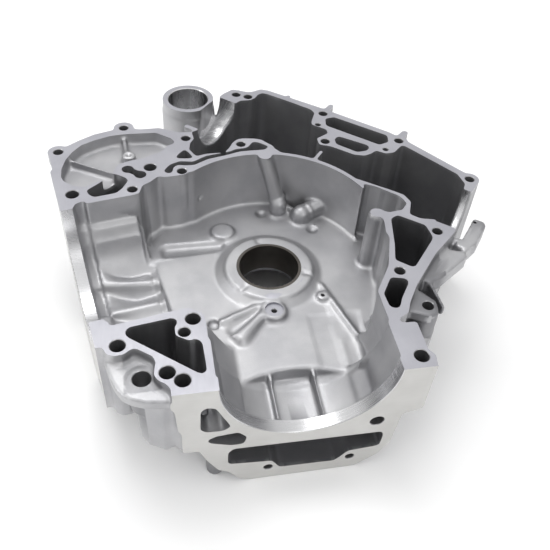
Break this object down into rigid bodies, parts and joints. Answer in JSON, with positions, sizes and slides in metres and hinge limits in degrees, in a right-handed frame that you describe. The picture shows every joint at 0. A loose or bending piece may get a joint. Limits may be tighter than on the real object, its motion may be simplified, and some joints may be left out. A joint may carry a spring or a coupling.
{
  "type": "crankcase half",
  "caption": "Cast aluminium half of a V-twin engine crankcase with a central main bearing, two half round cylinder mouths, a gear room, a breather tube and a bolted split face.",
  "frame": {"origin": "crank axis at the thrust face of the main bearing", "axes": "+Z along the crank axis towards the split face, -Y towards the front cylinder deck"},
  "size_m": [0.3011, 0.3018, 0.097],
  "materials": {
    "cast_alloy": "satin cast",
    "bearing_bush": "satin"
  },
  "bodies": {
    "root": {"crankcase_casting": "cast_alloy", "main_bearing_bush": "bearing_bush"}
  },
  "joints": []
}
